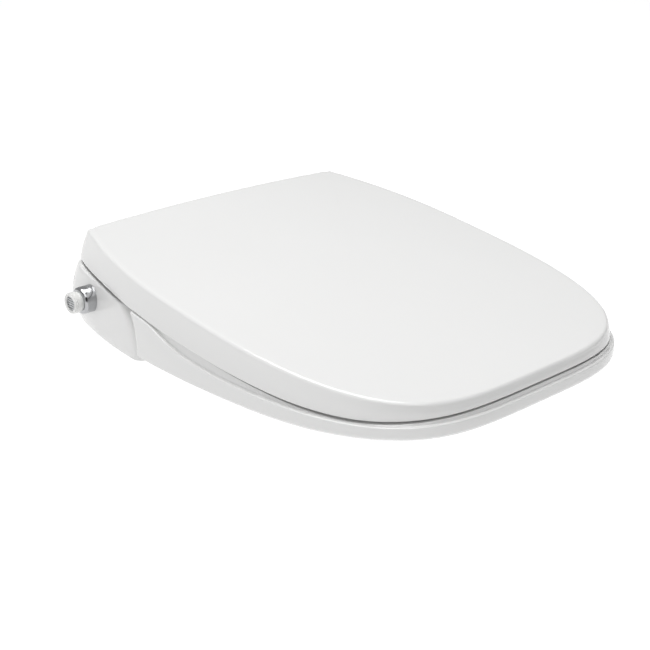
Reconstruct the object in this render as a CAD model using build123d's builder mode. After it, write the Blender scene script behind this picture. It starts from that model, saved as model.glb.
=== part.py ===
"""Electric bidet seat: lid, heated seat ring and slim rear housing with nozzle, heater and water inlet.

Millimetres. +Z up, -Y to the front of the bowl, +X to the user's left. The origin is the midpoint
between the two bowl bolt holes, on the plane of the bowl's rim.
"""

import os
from math import cos, pi, radians, sin, sqrt, tan

from build123d import *

os.makedirs("parts", exist_ok=True)

# Lid outline: a straight back, bulging sides and a superellipse front.
LID_REAR = 28.0  # y of the lid's rear edge
LID_TOP = 94.0  # height of the rear corners
LID_LENGTH = 435.0  # along the sloping top
LID_SLOPE = 7.0  # degrees down to the front
PLAN_LENGTH = LID_LENGTH * cos(radians(LID_SLOPE))
LID_REAR_HALF = 158.0
LID_HALF = 185.0
LID_WIDEST = 166.0  # distance from the rear edge to the widest place
SIDE_POWER = 2.13
FRONT_POWER_X = 3.89
FRONT_POWER_Y = 2.94
LID_CROWN = 3.9
LID_WALL = 3.0
LID_DRAFT = 0.133  # sideways growth of the walls per mm of depth
LID_DEPTH = 46.0

# Seat ring.
SEAT_GROW = 5.5  # beyond the lid's top outline
SEAT_BOTTOM = 10.0
SEAT_WALL = 2.8
SEAT_PLATE_Z = (14.0, 16.6)  # the plate that closes the seat's underside
RAISED_GROW = -7.0  # outline of the part of the seat that stands inside the lid
OPENING_HALF = 105.0
OPENING_FRONT = -346.0
OPENING_REAR = -112.0

# Housing.
COVER_WALL = 2.8
DECK_TOP = 58.0
BASE_BOTTOM, BASE_TOP = 9.0, 12.0

# Hinge, common to the seat and the lid.
HINGE_Y, HINGE_Z = 24.0, 80.0
BARREL_R = 9.0
BARREL_HALF = 128.0
PIN_R = 4.0
PIN_GAP = 0.05
KNUCKLE_INNER, KNUCKLE_OUTER = 128.6, 141.0
LUG_INNER, LUG_OUTER = 141.6, 152.0
LUG_R = 8.0
DAMPER_R = 6.5
DAMPER_END = 66.0
PIN_REACH = 30.0  # how far the hinge pins stand in the dampers

# Bowl mounting.
BOLT_SPACING = 155.0
SLOT_HALF, SLOT_LENGTH = 4.5, 24.0
PLATE_THICK = 8.0
PLATE_HALF, PLATE_FLANGE = 100, 5  # half width under the side flanges, and how far these stand out
FLANGE_BOTTOM = 5
PLATE_Y = (-42, 31)  # also the span of the rails the plate slides in
BOLT_WELL_R, BOLT_WELL_WALL = 16.5, 2.5
RAIL_X, RAIL_WALL, RAIL_LIP, LIP_TOP = 105.3, 3.5, 4.7, 4.7
SCREW_R, SCREW_HEAD_R, BOSS_R = 1.65, 3.4, 4.5

# Nozzle, sliding forward and down out of the housing's front.
NOZZLE_SLOPE = 15.0
NOZZLE_TRAVEL = 82.0
NOZZLE_Y, NOZZLE_Z = -86.0, 21.0  # centre of the wand's front end at rest
WAND_R = 5.5
WAND_LENGTH = 98.0
FEED_R = 2.0
GEAR_MODULE = 1.0
GEAR_TEETH = 12

# Water inlet on the user's right side.
INLET_Y, INLET_Z = -5.5, 37.5
INLET_BODY_R = 13.2
INLET_BODY_END = -192.5
INLET_SEAL_END = -194.0
INLET_END = -202.0
INLET_INNER = -158.0  # where the chrome body meets the valve
THREAD_R = 10.48  # G1/2
BORE_R = 7.0
WATERWAY = (-210, -150)  # span of the cut for the bore
FILTER_SPAN = (-200.5, -199.5)
MESH_PITCH, MESH_HOLE, MESH_COUNT = 2.4, 1.5, 5
VALVE_X, VALVE_Y, VALVE_Z = (-158.0, -122), (-14, 13), (22, 47)
COIL_X, COIL_Y, COIL_R, COIL_TOP = -134, -1, 9, 54
SENSOR_Y, SENSOR_Z = -18, 33
SENSOR_R, SENSOR_BORE_R, SENSOR_LENGTH = 8, 3, 8
HEATER_X, HEATER_Y, HEATER_Z = (-148, -50), (-72, -22), (14, 42)
RIB_PITCH, RIB_COUNT, RIB_WIDTH, RIB_LENGTH, RIB_HEIGHT = 12, 7, 4, 40, 3
ELEMENT_Y, ELEMENT_Z, ELEMENT_R, ELEMENT_END = -60, 28, 4.9, -139
HOSE_R, HOSE_BORE_R, HOSE_BEND = 3.2, 2, 8

# Power button on the user's left side.
BUTTON_Y, BUTTON_Z, BUTTON_R = -20.0, 34.0, 8.0
WINDOW_Y, WINDOW_R = -48.0, 3.5
CORD_X, CORD_Z, CORD_R = 118, 24, 3.6
GLAND_R, GLAND_Y, GLAND_LENGTH = 6.5, 46, 16
COLLAR_R, COLLAR_Y, COLLAR_THICK = 9, 50.5, 3
BOARD_X, BOARD_Y, BOARD_Z = (40, 150), (-74, -22), (16, 17.6)
SUPPLY_X, SUPPLY_Y, SUPPLY_TOP = (104, 142), (-6, 26), 40
MOTOR_R, MOTOR_LENGTH, SHAFT_R = 10, 17, 1.5

lid_plane = Plane(
    origin=(0, LID_REAR, LID_TOP),
    x_dir=(1, 0, 0),
    z_dir=(0, -sin(radians(LID_SLOPE)), cos(radians(LID_SLOPE))),
)
# Looks forward along the nozzle's travel; its local y is up, square to the travel.
nozzle_dir = Vector(0, -cos(radians(NOZZLE_SLOPE)), -sin(radians(NOZZLE_SLOPE)))
nozzle_plane = Plane(origin=(0, NOZZLE_Y, NOZZLE_Z), x_dir=(1, 0, 0), z_dir=nozzle_dir)


def save(builder, name):
    """Labels a finished piece and writes it as one STEP file."""
    builder.part.label = name
    export_step(builder.part, f"parts/{name}.step")


def level(z, y=0.0):
    """A horizontal plane at height z."""
    return Plane(origin=(0, y, z))


def across(x):
    """A plane facing +X at x, whose local axes are y and z."""
    return Plane.YZ.offset(x)


def half_outline(grow, length):
    """Points of the right half of the lid's outline, from the rear corner to the front middle."""
    points = []
    for step in range(6):
        back = LID_WIDEST * step / 6
        pull = ((LID_WIDEST - back) / LID_WIDEST) ** SIDE_POWER
        points.append((LID_HALF + grow - (LID_HALF - LID_REAR_HALF) * pull, -back))
    for step in range(11):
        turn = pi / 2 * step / 10
        x = (LID_HALF + grow) * max(cos(turn), 0) ** (2 / FRONT_POWER_X)
        y = LID_WIDEST + (length + grow - LID_WIDEST) * sin(turn) ** (2 / FRONT_POWER_Y)
        points.append((x if step < 10 else 0.0, -y))
    return points


def d_outline(plane, grow, behind=0.0, length=LID_LENGTH):
    """The lid's outline grown sideways; behind moves its straight back edge rearwards."""
    right = half_outline(grow, length)
    left = [(-x, y) for x, y in right[-2::-1]]
    corner = right[0][0]
    with BuildSketch(plane) as outline:
        with BuildLine():
            Spline(*right, *left)
            if behind:
                Polyline((-corner, 0), (-corner, behind), (corner, behind), (corner, 0))
            else:
                Line((-corner, 0), (corner, 0))
        make_face()
    return outline.sketch


def d_block(grow, bottom, top, behind=0.0):
    """An upright block with the lid's outline."""
    with BuildPart() as block:
        extrude(d_outline(level(bottom, LID_REAR), grow, behind, PLAN_LENGTH), amount=top - bottom)
    return block.part


def slab(curve, closing):
    """A block 440 mm wide whose side view is a smooth curve closed by straight lines."""
    with BuildPart() as block:
        with BuildSketch(Plane.YZ):
            with BuildLine():
                Spline(*curve)
                Polyline(curve[-1], *closing, curve[0])
            make_face()
        extrude(amount=220, both=True)
    return block.part


def plate_profile(points, x_from, x_to):
    """A plate between two x values whose side view is a polygon of (y, z) points."""
    with BuildPart() as plate:
        with BuildSketch(across(x_from)):
            with BuildLine():
                Polyline(*points, close=True)
            make_face()
        extrude(amount=x_to - x_from)
    return plate.part


def rod(x_from, x_to, y, z, radius):
    """A round bar along X."""
    with BuildPart() as bar:
        with BuildSketch(across(x_from)):
            with Locations((y, z)):
                Circle(radius)
        extrude(amount=x_to - x_from)
    return bar.part


def brick(x, y, z):
    """A box from three (low, high) pairs."""
    with BuildPart() as box:
        with BuildSketch(level(z[0])):
            with Locations(((x[0] + x[1]) / 2, (y[0] + y[1]) / 2)):
                Rectangle(x[1] - x[0], y[1] - y[0])
        extrude(amount=z[1] - z[0])
    return box.part


def post(x, y, bottom, top, radius):
    """An upright round bar."""
    with BuildPart() as bar:
        with BuildSketch(level(bottom)):
            with Locations((x, y)):
                Circle(radius)
        extrude(amount=top - bottom)
    return bar.part


def opening_block(grow, bottom, top):
    """The oval opening of the seat ring, grown all round."""
    middle = (OPENING_FRONT + OPENING_REAR) / 2
    half_length = (OPENING_REAR - OPENING_FRONT) / 2 + grow
    half_width = OPENING_HALF + grow
    ring = []
    for step in range(24):
        turn = 2 * pi * step / 24
        c, s = cos(turn), sin(turn)
        ring.append((
            half_width * abs(c) ** (2 / 2.4) * (1 if c >= 0 else -1),
            middle + half_length * abs(s) ** (2 / 2.2) * (1 if s >= 0 else -1),
        ))
    with BuildPart() as block:
        with BuildSketch(level(bottom)):
            with BuildLine():
                Spline(*ring, periodic=True)
            make_face()
        extrude(amount=top - bottom)
    return block.part


def nozzle_rod(z_from, z_to, radius, x=0.0, y=0.0):
    """A round bar along the nozzle's travel."""
    with BuildPart() as bar:
        with BuildSketch(nozzle_plane.offset(z_from)):
            with Locations((x, y)):
                Circle(radius)
        extrude(amount=z_to - z_from)
    return bar.part


def nozzle_brick(x, y, z):
    """A box square to the nozzle's travel, from three (low, high) pairs."""
    with BuildPart() as box:
        with BuildSketch(nozzle_plane.offset(z[0])):
            with Locations(((x[0] + x[1]) / 2, (y[0] + y[1]) / 2)):
                Rectangle(x[1] - x[0], y[1] - y[0])
        extrude(amount=z[1] - z[0])
    return box.part


# ---- lid -----------------------------------------------------------------------------------------


def lid_form(wall, behind):
    """The lid's drafted and crowned body, thinned by wall on the sides and the top."""
    top_grow = -LID_DRAFT * 5 - wall
    low_grow = LID_DRAFT * LID_DEPTH - wall
    crown_edge = 230.0
    crown_radius = LID_HALF**2 / (2 * LID_CROWN) / 1.2
    sag = crown_radius - sqrt(crown_radius**2 - crown_edge**2)
    crown_plane = Plane(
        origin=lid_plane.from_local_coords(Vector(0, 80, -wall)),
        x_dir=(1, 0, 0),
        z_dir=-lid_plane.y_dir,
    )
    fall_plane = Plane(
        origin=lid_plane.from_local_coords(Vector(0, 0, -wall)),
        x_dir=lid_plane.y_dir,
        z_dir=(1, 0, 0),
    )
    with BuildPart() as form:
        loft([
            d_outline(lid_plane.offset(-LID_DEPTH), low_grow, behind),
            d_outline(lid_plane.offset(5), top_grow, behind),
        ])
        with BuildSketch(crown_plane) as crown:
            with BuildLine():
                ThreePointArc((-crown_edge, LID_CROWN - sag), (0, LID_CROWN), (crown_edge, LID_CROWN - sag))
                Polyline(
                    (crown_edge, LID_CROWN - sag), (crown_edge, -80),
                    (-crown_edge, -80), (-crown_edge, LID_CROWN - sag),
                )
            make_face()
        extrude(crown.sketch, amount=620, mode=Mode.INTERSECT)
        with BuildSketch(fall_plane) as fall:
            with BuildLine():
                Line((90, 4.4), (-262, 4.4))
                ThreePointArc((-262, 4.4), (-350, 3.26), (-450, -0.6))
                Polyline((-450, -0.6), (-450, -80), (90, -80), (90, 4.4))
            make_face()
        extrude(fall.sketch, amount=230, both=True, mode=Mode.INTERSECT)
    return form.part


lid_low_edge = [
    (70, 69), (28, 64), (-40, 56.5), (-110, 48.5), (-180, 40.5),
    (-250, 34), (-310, 29.5), (-350, 28.3), (-385, 29.7), (-420, 33),
]

with BuildPart() as lid_shell:
    add(lid_form(0, 0))
    add(lid_form(LID_WALL, 60), mode=Mode.SUBTRACT)
    for side in (-1, 1):
        lug_span = sorted((side * LUG_INNER, side * LUG_OUTER))
        add(rod(*lug_span, HINGE_Y, HINGE_Z, LUG_R))
        add(plate_profile(
            [(HINGE_Y - LUG_R, HINGE_Z), (HINGE_Y - LUG_R - 9, 90.5), (HINGE_Y + 3.6, 93),
             (HINGE_Y + LUG_R - 0.2, HINGE_Z)],
            *lug_span,
        ))
    # The left lug turns on the seat's pin; the right lug holds the lid's own pin.
    add(rod(LUG_INNER - 1, LUG_OUTER - 2, HINGE_Y, HINGE_Z, PIN_R + PIN_GAP), mode=Mode.SUBTRACT)
    add(rod(-LUG_OUTER + 2, -LUG_INNER + 1, HINGE_Y, HINGE_Z, PIN_R), mode=Mode.SUBTRACT)
    add(slab(lid_low_edge, [(-440, -30), (70, -30)]), mode=Mode.SUBTRACT)
save(lid_shell, "lid_shell")

lid_bumper_x, lid_bumper_y = 95.0, -345.0
with BuildPart() as lid_bumpers:
    for side in (-1, 1):
        add(post(side * lid_bumper_x, lid_bumper_y, 33.4, 44.5, 6))
        add(post(side * lid_bumper_x, lid_bumper_y, 37, 50, 3.5))
    add(lid_form(LID_WALL, 60), mode=Mode.INTERSECT)
save(lid_bumpers, "lid_bumpers")

with BuildPart() as lid_hinge_pin:
    add(rod(-LUG_OUTER + 2, -BARREL_HALF + PIN_REACH, HINGE_Y, HINGE_Z, PIN_R))
save(lid_hinge_pin, "lid_hinge_pin")


# ---- seat ----------------------------------------------------------------------------------------

seat_side_top = [
    (-60, 51), (-82, 49.5), (-120, 45.5), (-138, 38.5), (-160, 33.5),
    (-202, 29), (-268, 26.5), (-340, 25.5), (-420, 26),
]
seat_raised_top = [
    (-60, 62), (-82, 60), (-122, 54), (-160, 46.5), (-210, 39.5),
    (-270, 35), (-345, 32.5), (-420, 31),
]
# Where the seat ends and the housing starts.
seam = [
    (-94.5, -2), (-94.6, 10), (-93.9, 24), (-92.3, 34), (-90, 43), (-86.6, 49), (-82.5, 54), (-75, 64),
]
skirt_bottom = [(-440, SEAT_BOTTOM), (-190, SEAT_BOTTOM), (-130, 9.2), (-60, 8.5)]


def seam_cut(shift):
    """Everything behind the curved seam, moved by shift along Y."""
    curve = [(y + shift, z) for y, z in seam]
    return slab(curve, [(curve[-1][0], 95), (80, 95), (80, -2)])


def under_cut(lift):
    """Everything below the seat ring's lower edge, raised by lift."""
    curve = [(y, z + lift) for y, z in skirt_bottom]
    with BuildPart() as block:
        with BuildSketch(Plane.YZ):
            with BuildLine():
                Polyline(*curve, (-60, -30), (-440, -30), close=True)
            make_face()
        extrude(amount=220, both=True)
    return block.part


def seat_form(wall, floor_lift):
    """The seat ring's solid body, thinned by wall on the top and the sides."""
    side_top = [(y, z - wall) for y, z in seat_side_top]
    raised_top = [(y, z - wall) for y, z in seat_raised_top]
    with BuildPart() as form:
        add(d_block(SEAT_GROW - wall, 0, 70))
        add(slab(side_top, [(-440, 26), (-440, 90), (-60, 90)]), mode=Mode.SUBTRACT)
        add(raised_block(wall, raised_top))
        add(seam_cut(-wall), mode=Mode.SUBTRACT)
        add(under_cut(floor_lift), mode=Mode.SUBTRACT)
        add(opening_block(wall, -5, 90), mode=Mode.SUBTRACT)
    return form.part


def raised_block(wall, raised_top):
    """The inner part of the ring, which stands up inside the closed lid."""
    with BuildPart() as block:
        add(d_block(RAISED_GROW - wall, 5, 70))
        add(slab(raised_top, [(-440, 30), (-440, 90), (-60, 90)]), mode=Mode.SUBTRACT)
    return block.part


arm_side_view = [
    (-118, 50), (-84, 50), (-80, 60.5), (-60, 65), (HINGE_Y, HINGE_Z - 8.4),
    (HINGE_Y, HINGE_Z + 8.4), (-70, 77), (-112, 56),
]
tunnel = brick((-26, 26), (-135, -60), (-5, 33))

with BuildPart() as seat_top:
    add(seat_form(0, 0))
    for side in (-1, 1):
        arm_span = sorted((side * KNUCKLE_INNER, side * KNUCKLE_OUTER))
        add(plate_profile(arm_side_view, *arm_span))
        add(rod(*arm_span, HINGE_Y, HINGE_Z, 8.4))
    with BuildPart(mode=Mode.PRIVATE) as hollow:
        add(seat_form(SEAT_WALL, -20))
        add(brick((-29, 29), (-138, -60), (-5, 36)), mode=Mode.SUBTRACT)
    add(hollow.part, mode=Mode.SUBTRACT)
    add(tunnel, mode=Mode.SUBTRACT)
    # The right knuckle turns on the lid's pin; the left knuckle holds the seat's own pin.
    add(rod(-KNUCKLE_OUTER - 1, -KNUCKLE_INNER + 1, HINGE_Y, HINGE_Z, PIN_R + PIN_GAP),
        mode=Mode.SUBTRACT)
    add(rod(KNUCKLE_INNER - 1, KNUCKLE_OUTER + 1, HINGE_Y, HINGE_Z, PIN_R), mode=Mode.SUBTRACT)
save(seat_top, "seat_top")

with BuildPart() as seat_base:
    add(d_block(SEAT_GROW - SEAT_WALL - 0.1, *SEAT_PLATE_Z))
    add(opening_block(SEAT_WALL + 0.1, 0, 40), mode=Mode.SUBTRACT)
    add(brick((-220, 220), (-102, 60), (0, 40)), mode=Mode.SUBTRACT)
    add(brick((-29.2, 29.2), (-140, -60), (0, 40)), mode=Mode.SUBTRACT)
save(seat_base, "seat_base")

foil_under = [(y, z - SEAT_WALL - 0.7) for y, z in seat_raised_top]
with BuildPart() as seat_heater_foil:
    add(raised_block(12, [(y, z - SEAT_WALL - 0.1) for y, z in seat_raised_top]))
    add(slab(foil_under, [(-440, 30), (-440, -5), (-60, -5)]), mode=Mode.SUBTRACT)
    add(opening_block(9, 0, 90), mode=Mode.SUBTRACT)
    add(brick((-220, 220), (-135, 60), (0, 90)), mode=Mode.SUBTRACT)
save(seat_heater_foil, "seat_heater_foil")

seat_bumper_places = [(-150, -195), (150, -195), (-116, -337), (116, -337)]
with BuildPart() as seat_bumpers:
    for x, y in seat_bumper_places:
        add(brick((x - 9, x + 9), (y - 18, y + 18), (0, SEAT_PLATE_Z[0])))
    fillet(seat_bumpers.edges().filter_by(Axis.Z), radius=6)
    chamfer(seat_bumpers.faces().group_by(Axis.Z)[0].edges(), length=1)
save(seat_bumpers, "seat_bumpers")

with BuildPart() as seat_hinge_pin:
    add(rod(BARREL_HALF - PIN_REACH, LUG_OUTER - 2.5, HINGE_Y, HINGE_Z, PIN_R))
save(seat_hinge_pin, "seat_hinge_pin")


# ---- housing -------------------------------------------------------------------------------------

# Right half of the housing's outline at three heights, from the rear middle to the front.
cover_sections = {
    -1: [(0, 47), (128, 47), (149, 45.5), (161.5, 40), (167, 30), (171, 15), (175.3, -5), (180.6, -35),
         (184.2, -70), (186, -104)],
    34: [(0, 49.5), (126, 49.5), (149, 49), (163, 46), (172, 38.5), (177, 27), (178.6, 12), (180.7, -20),
         (184.4, -72), (186, -104)],
    66: [(0, 41), (128, 41), (149, 40.5), (160, 38), (166, 31), (169.5, 20), (172.5, 5), (178, -35),
         (183, -76), (185, -104)],
}
shoulder = [
    (-112, 46.8), (-79, 50.3), (-43, 54.8), (-10, 58.5), (12, 60.6), (28, 60), (38, 55), (43.5, 45.5),
    (47, 28), (49, 8),
]
COVER_GAP = 1.3  # between the seat's rear edge and the housing


def cover_section(height, inset):
    """The housing's outline at one height."""
    right = [(max(x - inset, 0), y - inset) for x, y in cover_sections[height]]
    left = [(-x, y) for x, y in right[:0:-1]]
    with BuildSketch(level(height)) as section:
        with BuildLine():
            Spline(*left, *right)
            Line(right[-1], left[0])
        make_face()
    return section.sketch


def cover_form(wall):
    """The housing's solid body, thinned by wall."""
    top_line = [(y - (wall if y > 40 else 0), z - wall) for y, z in shoulder]
    with BuildPart() as form:
        loft([cover_section(height, wall) for height in cover_sections])
        add(slab(top_line, [(80, 8), (80, 120), (-112, 120)]), mode=Mode.SUBTRACT)
        add(seam_cut(COVER_GAP + wall), mode=Mode.INTERSECT)
    return form.part


board_feet = [(46, -68), (144, -68), (46, -28), (144, -28)]
boss_places = [(x * side, y) for x, y in ((150, 27), (160, -60), (100, 36), (30, 36)) for side in (-1, 1)]
solid_cover = cover_form(0)
hollow_cover = cover_form(COVER_WALL)
screw_bosses = Part() + [post(x, y, BASE_TOP + 0.1, 60, BOSS_R) for x, y in boss_places]
screw_holes = Part() + [post(x, y, 0, 24, SCREW_R + 0.05) for x, y in boss_places]
web_side_view = [(-10, 54), (14, 56), (14, 68), (18, 74), (18, 87), (6, 84.5)]
web_hollow = [(0, 50), (11.5, 50), (11.5, 68), (15, 74), (15, 79), (9, 78)]

with BuildPart() as housing_cover:
    add(solid_cover)
    add(hollow_cover, mode=Mode.SUBTRACT)
    add(screw_bosses & solid_cover)
    add(plate_profile(web_side_view, -BARREL_HALF, BARREL_HALF))
    add(rod(-BARREL_HALF, BARREL_HALF, HINGE_Y, HINGE_Z, BARREL_R))
    add(plate_profile(web_hollow, -BARREL_HALF + 4, BARREL_HALF - 4), mode=Mode.SUBTRACT)
    add(rod(-BARREL_HALF - 1, BARREL_HALF + 1, HINGE_Y, HINGE_Z, DAMPER_R + 0.02), mode=Mode.SUBTRACT)
    add(screw_holes, mode=Mode.SUBTRACT)
    add(nozzle_brick((-11.8, 11.8), (-9.8, 9.8), (-12, 14)), mode=Mode.SUBTRACT)
    add(rod(INLET_BODY_END, INLET_INNER, INLET_Y, INLET_Z, INLET_BODY_R), mode=Mode.SUBTRACT)
    add(rod(165, 190, BUTTON_Y, BUTTON_Z, BUTTON_R + 0.4), mode=Mode.SUBTRACT)
    add(rod(165, 190, WINDOW_Y, BUTTON_Z, WINDOW_R), mode=Mode.SUBTRACT)
    with Locations(Plane(origin=(CORD_X, 60, CORD_Z), z_dir=(0, 1, 0))):
        Cylinder(GLAND_R, 60, mode=Mode.SUBTRACT)
    add(brick((-220, 220), (-150, 100), (-5, 0)), mode=Mode.SUBTRACT)
save(housing_cover, "housing_cover")

with BuildPart() as housing_base:
    extrude(cover_section(-1, COVER_WALL + 1.2), amount=BASE_TOP + 1)
    add(brick((-200, 200), (-89, 60), (BASE_BOTTOM, BASE_TOP)), mode=Mode.INTERSECT)
    for side in (-1, 1):
        add(post(side * BOLT_SPACING / 2, 0, BASE_BOTTOM, 26, BOLT_WELL_R + BOLT_WELL_WALL))
        add(post(side * BOLT_SPACING / 2, 0, 0, 26 - BOLT_WELL_WALL, BOLT_WELL_R), mode=Mode.SUBTRACT)
        rail = sorted((side * RAIL_X, side * (RAIL_X + RAIL_WALL)))
        lip = sorted((side * (RAIL_X - RAIL_LIP), side * (RAIL_X + RAIL_WALL)))
        add(brick(rail, PLATE_Y, (1, BASE_BOTTOM)))
        add(brick(lip, PLATE_Y, (1, LIP_TOP)))
    for x, y in board_feet:
        add(post(x, y, BASE_TOP, BOARD_Z[0], 3))
    for x, y in boss_places:
        add(post(x, y, 0, 20, SCREW_R + 0.15), mode=Mode.SUBTRACT)
    # Room for the nozzle below its port.
    add(brick((-15, 15), (-100, -76), (0, 30)), mode=Mode.SUBTRACT)
save(housing_base, "housing_base")

with BuildPart() as mounting_plate:
    add(brick((-PLATE_HALF, PLATE_HALF), PLATE_Y, (0, PLATE_THICK)))
    flange_half = PLATE_HALF + PLATE_FLANGE
    add(brick((-flange_half, flange_half), PLATE_Y, (FLANGE_BOTTOM, PLATE_THICK)))
    with BuildSketch(level(-1)):
        with Locations((-BOLT_SPACING / 2, 0), (BOLT_SPACING / 2, 0)):
            SlotOverall(SLOT_LENGTH, SLOT_HALF * 2)
    extrude(amount=PLATE_THICK + 2, mode=Mode.SUBTRACT)
    with BuildSketch(level(2.5)):
        with Locations((0, 16), (0, -20)):
            RectangleRounded(90, 22, 4)
    extrude(amount=PLATE_THICK, mode=Mode.SUBTRACT)
save(mounting_plate, "mounting_plate")

with BuildPart() as base_screws:
    for x, y in boss_places:
        add(post(x, y, BASE_BOTTOM - 2, BASE_BOTTOM, SCREW_HEAD_R))
        add(post(x, y, BASE_BOTTOM, 22, SCREW_R))
save(base_screws, "base_screws")

for name, side in (("lid_damper", -1), ("seat_damper", 1)):
    with BuildPart() as damper:
        body_span = sorted((side * (BARREL_HALF - 0.5), side * DAMPER_END))
        pin_span = sorted((side * (BARREL_HALF + 1), side * (BARREL_HALF - PIN_REACH - 0.5)))
        add(rod(*body_span, HINGE_Y, HINGE_Z, DAMPER_R))
        add(rod(*pin_span, HINGE_Y, HINGE_Z, PIN_R + PIN_GAP), mode=Mode.SUBTRACT)
    save(damper, name)


# ---- water path ----------------------------------------------------------------------------------

with BuildPart() as inlet_body:
    add(rod(INLET_BODY_END, INLET_INNER, INLET_Y, INLET_Z, INLET_BODY_R - 0.02))
    chamfer(inlet_body.edges().group_by(Axis.X)[0], length=1.2)
    add(rod(*WATERWAY, INLET_Y, INLET_Z, BORE_R), mode=Mode.SUBTRACT)
save(inlet_body, "inlet_body")

with BuildPart() as inlet_seal:
    add(rod(INLET_SEAL_END, INLET_BODY_END, INLET_Y, INLET_Z, 9.4))
    add(rod(*WATERWAY, INLET_Y, INLET_Z, BORE_R), mode=Mode.SUBTRACT)
save(inlet_seal, "inlet_seal")

with BuildPart() as inlet_thread:
    add(rod(INLET_END, INLET_SEAL_END, INLET_Y, INLET_Z, THREAD_R))
    add(rod(*WATERWAY, INLET_Y, INLET_Z, BORE_R), mode=Mode.SUBTRACT)
    chamfer(inlet_thread.edges().group_by(Axis.X)[0], length=0.8)
save(inlet_thread, "inlet_thread")

with BuildPart() as inlet_filter:
    add(rod(*FILTER_SPAN, INLET_Y, INLET_Z, BORE_R - 0.05))
    with BuildSketch(across(INLET_END)):
        with Locations((INLET_Y, INLET_Z)):
            with GridLocations(MESH_PITCH, MESH_PITCH, MESH_COUNT, MESH_COUNT):
                Rectangle(MESH_HOLE, MESH_HOLE)
    extrude(amount=20, mode=Mode.SUBTRACT)
save(inlet_filter, "inlet_filter")

with BuildPart() as solenoid_valve:
    add(brick(VALVE_X, VALVE_Y, VALVE_Z))
    fillet(solenoid_valve.edges().filter_by(Axis.Z), radius=4)
    add(post(COIL_X, COIL_Y, VALVE_Z[1], COIL_TOP, COIL_R))
    add(rod(-160, -150, INLET_Y, INLET_Z, BORE_R - 0.1), mode=Mode.SUBTRACT)
save(solenoid_valve, "solenoid_valve")

with BuildPart() as flow_sensor:
    with Locations(Plane(origin=(COIL_X, SENSOR_Y, SENSOR_Z), z_dir=(0, 1, 0))):
        Cylinder(SENSOR_R, SENSOR_LENGTH)
        Cylinder(SENSOR_BORE_R, SENSOR_LENGTH, mode=Mode.SUBTRACT)
save(flow_sensor, "flow_sensor")

with BuildPart() as water_heater:
    add(brick(HEATER_X, HEATER_Y, HEATER_Z))
    fillet(water_heater.edges().filter_by(Axis.Z), radius=6)
    with BuildSketch(level(HEATER_Z[1])):
        with Locations((sum(HEATER_X) / 2, sum(HEATER_Y) / 2)):
            with GridLocations(RIB_PITCH, 0, RIB_COUNT, 1):
                Rectangle(RIB_WIDTH, RIB_LENGTH)
    extrude(amount=RIB_HEIGHT)
    add(rod(ELEMENT_END - 1, -40, ELEMENT_Y, ELEMENT_Z, ELEMENT_R + 0.1), mode=Mode.SUBTRACT)
save(water_heater, "water_heater")

with BuildPart() as heater_element:
    add(rod(ELEMENT_END, -52, ELEMENT_Y, ELEMENT_Z, ELEMENT_R))
    add(rod(-52, -44, ELEMENT_Y, ELEMENT_Z, 3))
save(heater_element, "heater_element")


def hose(path_points, bends, radius, bore):
    """A flexible hose along straight runs joined by arcs."""
    with BuildPart() as tube:
        with BuildLine() as route:
            FilletPolyline(*path_points, radius=bends)
        with BuildSketch(Plane(origin=route.line @ 0, z_dir=route.line % 0)):
            Circle(radius)
            Circle(bore, mode=Mode.SUBTRACT)
        sweep()
    return tube.part


nozzle_hose_route = [(-50, -38, 32), (-30, -38, 32), (-28, -4, 40), (-28, 18.6, 49), (-9, 18.6, 49)]
with BuildPart() as nozzle_hose:
    add(hose(nozzle_hose_route, HOSE_BEND, HOSE_R, HOSE_BORE_R))
save(nozzle_hose, "nozzle_hose")


# ---- nozzle --------------------------------------------------------------------------------------

# The drive stands on the user's left of the wand.
PITCH_R = GEAR_MODULE * GEAR_TEETH / 2
PITCH_LINE = -2.4  # height of the rack's pitch line in the nozzle's plane
PINION_Z = -40.0  # place of the pinion along the travel
DRIVE_SPAN = (6.4, 10.0)
TOOTH_PITCH = pi * GEAR_MODULE
ADDENDUM, DEDENDUM = 0.85, 1.2
FLANK = tan(radians(20))

with BuildPart() as nozzle_guide:
    add(nozzle_brick((-9, 4), (-8.5, 8.5), (-WAND_LENGTH + 3, -6)))
    add(nozzle_rod(-WAND_LENGTH, 0, WAND_R + 0.3), mode=Mode.SUBTRACT)
    add(nozzle_brick((-9, 9), (-6.5, 6.5), (-WAND_LENGTH - 9, -WAND_LENGTH - 0.6)))
    add(nozzle_brick((-9, -6.4), (-6.5, 6.5), (-WAND_LENGTH - 1, -WAND_LENGTH + 4)))
    add(nozzle_rod(-WAND_LENGTH - 20, 0, FEED_R), mode=Mode.SUBTRACT)
    for place in (-22, -78):
        foot = nozzle_plane.from_local_coords(Vector(-6, -8, place))
        add(brick((-9, -4), (foot.Y - 4, foot.Y + 4), (BASE_TOP, foot.Z)))
save(nozzle_guide, "nozzle_guide")

with BuildPart() as nozzle_feed_tube:
    add(nozzle_rod(-WAND_LENGTH - 9, -10, FEED_R - 0.01))
    add(nozzle_rod(-WAND_LENGTH - 10, 0, 1.2), mode=Mode.SUBTRACT)
save(nozzle_feed_tube, "nozzle_feed_tube")

with BuildPart() as nozzle_wand:
    add(nozzle_rod(-WAND_LENGTH, -14, WAND_R))
    add(nozzle_rod(-14, -5, WAND_R - 1.4))
    add(nozzle_rod(-WAND_LENGTH - 1, -7, FEED_R + 0.5), mode=Mode.SUBTRACT)
save(nozzle_wand, "nozzle_wand")

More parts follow.
